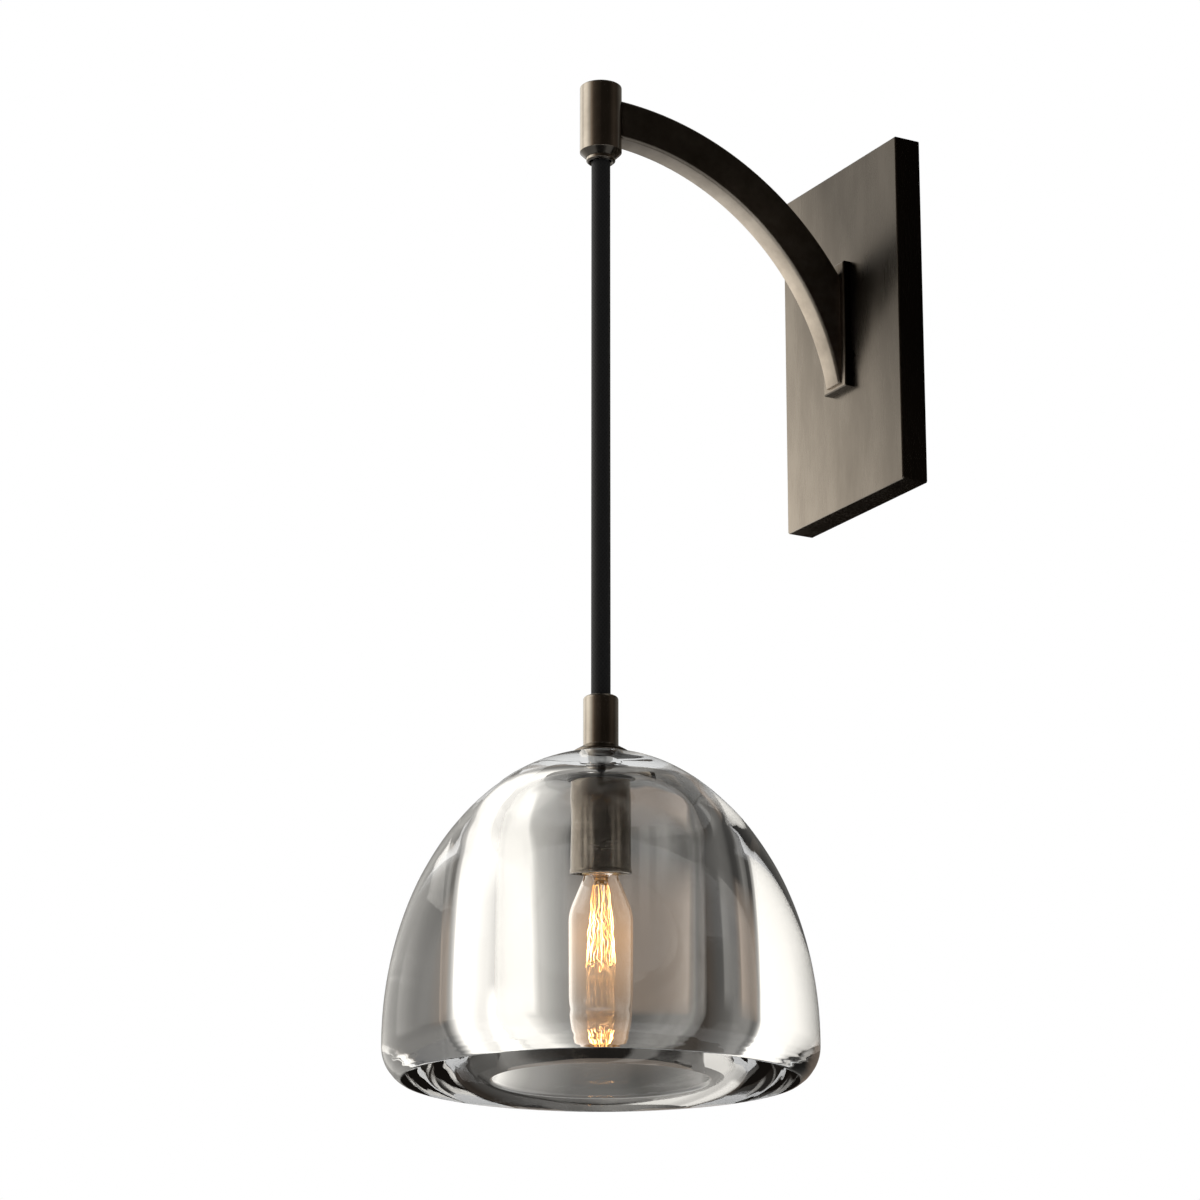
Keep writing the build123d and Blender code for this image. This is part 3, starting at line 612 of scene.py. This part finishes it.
# ---------------------------------------------------------------- cord
CORD = 4.1
PIVOT = 58.3  # height of the hinge at the grip
CORD_FOOT = -180.8
CORD_POINTS = [(0, 0, PIVOT), (0, 0, -1.5), (0, 0, -61.2), (0, 0, -121.0), (0, 0, CORD_FOOT)]
END_FOOT, END_TOP = 62.7, 72.7  # the clamped end inside the hub
END_ROUND = 0.4
CAP_FOOT, CAP_TOP = 60.1, 62.4  # the round end of the length that bends, clear of the swinging cord

round_foot = arc((CORD - END_ROUND, END_FOOT + END_ROUND), (END_ROUND, END_ROUND), -90, 0, 4)
round_top = arc((CORD - END_ROUND, END_TOP - END_ROUND), (END_ROUND, END_ROUND), 0, 90, 4)
clamped = [(0.0, END_FOOT)] + round_foot + round_top + [(0.0, END_TOP)]
dress(turned("cord_end_jacket", clamped, 64), "base", "cord_black", "cord_end")

ball = [(0.0, CAP_FOOT)] + arc((0, PIVOT), (CORD, CORD), 27, 84, 16) + [(0.0, CAP_TOP)]
dress(turned("cord_bend_jacket", ball, 64), "cord_bend", "cord_black", "cord_bend")

hanging_cord = wire("hanging_cord", CORD_POINTS, CORD, 12, capped=True)
dress(hanging_cord, "cord", "cord_black", "cord")


# ---------------------------------------------------------------- studio that glass and metal show
def emitter(name):
    """Material that shines and lights nothing by itself, with its emission node."""
    made = bpy.data.materials.new(name)
    made.cycles.emission_sampling = "NONE"
    made.use_nodes = True
    tree = made.node_tree
    tree.nodes.clear()
    glow = add(tree, "ShaderNodeEmission", Strength=1.0)
    out = add(tree, "ShaderNodeOutputMaterial")
    join(tree, glow.outputs[0], out.inputs["Surface"])
    return made, tree, glow


def warm(value):
    """Grey a little warmer than neutral, at a linear value."""
    return (value * 1.03, value, value * 0.94)


def brown(value):
    """Warm brown-grey at a linear value."""
    return (value * 1.22, value, value * 0.82)


# panels round the object: degrees to the right of the camera's forward direction, and the tone there
LOW_PANELS = [
    (-152, warm(0.03)),
    (-149, warm(1.1)),
    (-141, warm(1.1)),
    (-138, warm(0.03)),
    (-130, warm(0.03)),
    (-127, warm(1.2)),
    (-116, warm(1.2)),
    (-113, warm(0.04)),
    (-106, warm(0.04)),
    (-102, warm(1.0)),
    (-60, warm(1.25)),
    (-34, warm(1.25)),
    (-16.5, warm(1.1)),
    (-15, warm(0.58)),
    (-8, warm(0.31)),
    (-5, warm(0.06)),
    (3, warm(0.05)),
    (5, warm(0.13)),
    (14, warm(0.21)),
    (17, warm(0.12)),
    (24, warm(0.05)),
    (32, warm(0.045)),
    (40, warm(0.11)),
    (50, warm(0.13)),
    (80, warm(0.07)),
    (102, warm(0.04)),
    (106, warm(0.45)),
    (116, warm(0.45)),
    (119, warm(0.03)),
    (129, warm(0.02)),
    (132, warm(0.7)),
    (142, warm(0.02)),
]
LEVEL_PANELS = [
    (-180, brown(0.03)),
    (-140, brown(0.035)),
    (-122, brown(0.18)),
    (-104, warm(0.5)),
    (-85, warm(0.68)),
    (-75, warm(0.78)),
    (-70, warm(0.90)),
    (-63, warm(1.0)),
    (-56, warm(1.12)),
    (-50, warm(1.25)),
    (-17.3, warm(1.25)),
    (-16.6, warm(0.70)),
    (-13.8, warm(0.62)),
    (-11.9, warm(0.49)),
    (-8.5, warm(0.34)),
    (0, brown(0.24)),
    (7, brown(0.20)),
    (14, brown(0.19)),
    (21.7, brown(0.235)),
    (29.5, brown(0.31)),
    (31.5, brown(0.16)),
    (38, warm(0.13)),
    (45, warm(0.145)),
    (51, warm(0.20)),
    (56, warm(0.22)),
    (58, warm(0.09)),
    (64, warm(0.072)),
    (77, brown(0.058)),
    (100, brown(0.07)),
    (120, brown(0.03)),
    (140, brown(0.014)),
]
HIGH_PANELS = [
    (-180, brown(0.022)),
    (-160, brown(0.036)),
    (-148, brown(0.052)),
    (-137, brown(0.085)),
    (-126, brown(0.26)),
    (-117, warm(0.54)),
    (-108, warm(0.85)),
    (-95, warm(1.30)),
    (-76, warm(1.42)),
    (-68, warm(0.95)),
    (-60, warm(0.97)),
    (-52, warm(1.12)),
    (-48, warm(1.25)),
    (-24, warm(1.2)),
    (-16, warm(0.65)),
    (-10, warm(0.36)),
    (-7, warm(0.29)),
    (-3, warm(0.15)),
    (1, warm(0.14)),
    (4, warm(0.09)),
    (10, warm(0.13)),
    (17, warm(0.19)),
    (30, warm(0.17)),
    (45, warm(0.13)),
    (60, warm(0.09)),
    (80, brown(0.032)),
    (104, brown(0.045)),
    (116, brown(0.028)),
    (134, brown(0.013)),
    (150, brown(0.014)),
]
CEILING = [
    (-180, warm(0.010)),
    (-120, warm(0.014)),
    (-88, warm(0.06)),
    (-70, warm(0.10)),
    (-40, warm(0.30)),
    (-10, warm(0.34)),
    (14, warm(0.20)),
    (44, warm(0.18)),
    (54, warm(0.012)),
    (84, warm(0.012)),
    (94, warm(0.20)),
    (124, warm(0.19)),
    (136, warm(0.012)),
    (180, warm(0.010)),
]
# from which elevation in degrees a row begins to take over, to which it has, and its panels
WALL_ROWS = [(-90, -89, LOW_PANELS), (-13, -4, LEVEL_PANELS), (6.5, 10, HIGH_PANELS)]
SCREEN_RADIUS = 7.0
SCREEN_FOOT, SCREEN_TOP = -3.6, 8.0
SCREEN_CENTRE = (0, -0.1346, -0.25)


def panel_material(name, rows):
    """Grey and white panels by direction, in rows by elevation."""
    made, tree, glow = emitter(name)
    where = parts_of(tree, position(tree))
    angle = maths(tree, "ARCTAN2", where["X"], where["Y"])
    share = span(tree, angle, -pi, pi, 0, 1)
    tone = None
    for low, high, panels in rows:
        row = ramp(tree, share, [(0.5 + direction / 360, shade) for direction, shade in panels])
        if tone is None:
            tone = row
            continue
        mixed = add(tree, "ShaderNodeMix", data_type="RGBA")
        height = [SCREEN_RADIUS * tan(radians(level)) for level in (low, high)]
        join(tree, span(tree, where["Z"], *height, 0, 1), mixed.inputs["Factor"])
        join(tree, tone, mixed.inputs["A"])
        join(tree, row, mixed.inputs["B"])
        tone = mixed.outputs["Result"]
    join(tree, tone, glow.inputs["Color"])
    return made


def only_reflected(piece, in_glass):
    """Studio object that no camera ray, diffuse ray or shadow meets."""
    piece.visible_camera = False
    piece.visible_diffuse = False
    piece.visible_shadow = False
    piece.visible_transmission = in_glass


def screen_piece(steps):
    """Upright ring of panels, and the disc that closes it above."""
    mesh = bmesh.new()
    foot_row, top_row = (
        [mesh.verts.new(point) for point in circle(SCREEN_RADIUS, height, steps)]
        for height in (SCREEN_FOOT, SCREEN_TOP)
    )
    for step in range(steps):
        after = (step + 1) % steps
        mesh.faces.new((foot_row[step], top_row[step], top_row[after], foot_row[after]))
    mesh.faces.new(top_row).material_index = 1
    wall = panel_material("studio_panels", WALL_ROWS)
    ceiling = panel_material("studio_ceiling", [(0, 0, CEILING)])
    made = mesh_object("studio_panels", mesh, wall, ceiling)
    made.location = SCREEN_CENTRE
    made.rotation_euler = (0, 0, VIEW_TURN)
    only_reflected(made, in_glass=True)


screen_piece(180)


def flag(name, cards, tone):
    """Dark cards that only reflections show."""
    made, tree, glow = emitter(name)
    glow.inputs["Color"].default_value = (*tone, 1)
    mesh = bmesh.new()
    for corners in cards:
        mesh.faces.new([mesh.verts.new(corner) for corner in corners])
    only_reflected(mesh_object(name, mesh, made), in_glass=False)


def toward(right_of_view, rise, reach):
    """Point in a direction from the glass, in degrees, at a distance in metres."""
    turn = VIEW_TURN - radians(right_of_view)
    level = reach * cos(radians(rise))
    return (-sin(turn) * level, AXIS.y + cos(turn) * level, -0.3 + reach * sin(radians(rise)))


# the shaded wall round the plate, in four cards between two rectangles of (x, z)
WALL_SHADOW_OFF = 0.0008
OUTER = ((-0.075, -0.115), (0.075, -0.115), (0.075, 0.11), (-0.075, 0.11))
INNER = ((-0.0445, -0.077), (0.0445, -0.077), (0.0445, 0.077), (-0.0445, 0.077))
SIDES = [(OUTER[n - 1], OUTER[n], INNER[n], INNER[n - 1]) for n in range(4)]
flag("wall_shadow", [[(x, WALL_SHADOW_OFF, z) for x, z in side] for side in SIDES], brown(0.012))

# the dark ground below, and the dark edge of the table in front
GROUND_RADIUS = 0.7
GROUND_HEIGHT = -1.28
ground = [(x, AXIS.y + y, z) for x, y, z in circle(GROUND_RADIUS, GROUND_HEIGHT, 64)]
flag("flag_below", [ground], brown(0.02))
EDGE = ((-9, -14.5), (7, -14.5), (7, -6.5), (-9, -6.5))
EDGE_REACH = 5.0
flag("flag_front", [[toward(side, rise, EDGE_REACH) for side, rise in EDGE]], brown(0.012))


# ---------------------------------------------------------------- floor, lamps and world
FLOOR_HEIGHT = -1.3
FLOOR_RADIUS = 2.6
FLOOR_FADE = (1.0, 2.5)
FLOOR_TONE = (0.9, 0.9, 0.895, 1)


def floor_piece():
    """Pale floor that fades into the white backdrop toward its rim."""
    tree, shader = new_material("studio_floor")
    shader.inputs["Base Color"].default_value = FLOOR_TONE
    shader.inputs["Roughness"].default_value = 0.9
    reach = add(tree, "ShaderNodeVectorMath", operation="LENGTH")
    join(tree, position(tree), reach.inputs[0])
    gone = add(tree, "ShaderNodeBsdfTransparent")
    faded = add(tree, "ShaderNodeMixShader")
    join(tree, span(tree, reach.outputs["Value"], *FLOOR_FADE, 0.0, 1.0), faded.inputs[0])
    join(tree, shader.outputs[0], faded.inputs[1])
    join(tree, gone.outputs[0], faded.inputs[2])
    join(tree, faded.outputs[0], tree.nodes["Material Output"].inputs["Surface"])
    mesh = bmesh.new()
    mesh.faces.new([mesh.verts.new(point) for point in circle(FLOOR_RADIUS, 0, 96)])
    piece = mesh_object("studio_floor", mesh, materials["studio_floor"])
    piece.location = (0, 0, FLOOR_HEIGHT)


floor_piece()

LIT_PLACE = Vector((0, -0.07, -0.15))  # what the lamps face


def soft_light(name, place, size, power):
    data = bpy.data.lights.new(name, "AREA")
    data.shape = "SQUARE"
    data.size = size
    data.energy = power
    made = bpy.data.objects.new(name, data)
    made.location = place
    made.rotation_mode = "QUATERNION"
    made.rotation_quaternion = (LIT_PLACE - Vector(place)).to_track_quat("-Z", "Y")
    made.visible_glossy = False
    made.visible_transmission = False
    scene.collection.objects.link(made)


soft_light("key", (-1.6, -1.8, 1.4), size=1.2, power=26)
soft_light("fill", (1.8, -1.6, 0.6), size=1.6, power=10)

# white where it is seen, in the picture, in metal or through glass, and a soft light elsewhere
world = bpy.data.worlds.new("studio")
scene.world = world
world.use_nodes = True
world.cycles.sampling_method = "NONE"
sky = world.node_tree
sky.nodes.clear()
path = add(sky, "ShaderNodeLightPath").outputs
shown = maths(sky, "MAXIMUM", path["Is Glossy Ray"], path["Is Transmission Ray"])
seen = maths(sky, "MAXIMUM", path["Is Camera Ray"], shown)
white = add(sky, "ShaderNodeBackground", Color=(1, 1, 1, 1), Strength=1.0)
soft = add(sky, "ShaderNodeBackground", Color=(0.97, 0.985, 1, 1), Strength=0.75)
mixed = add(sky, "ShaderNodeMixShader")
join(sky, seen, mixed.inputs[0])
join(sky, soft.outputs[0], mixed.inputs[1])
join(sky, white.outputs[0], mixed.inputs[2])
sky_out = add(sky, "ShaderNodeOutputWorld")
join(sky, mixed.outputs[0], sky_out.inputs["Surface"])

scene.view_settings.view_transform = "Standard"
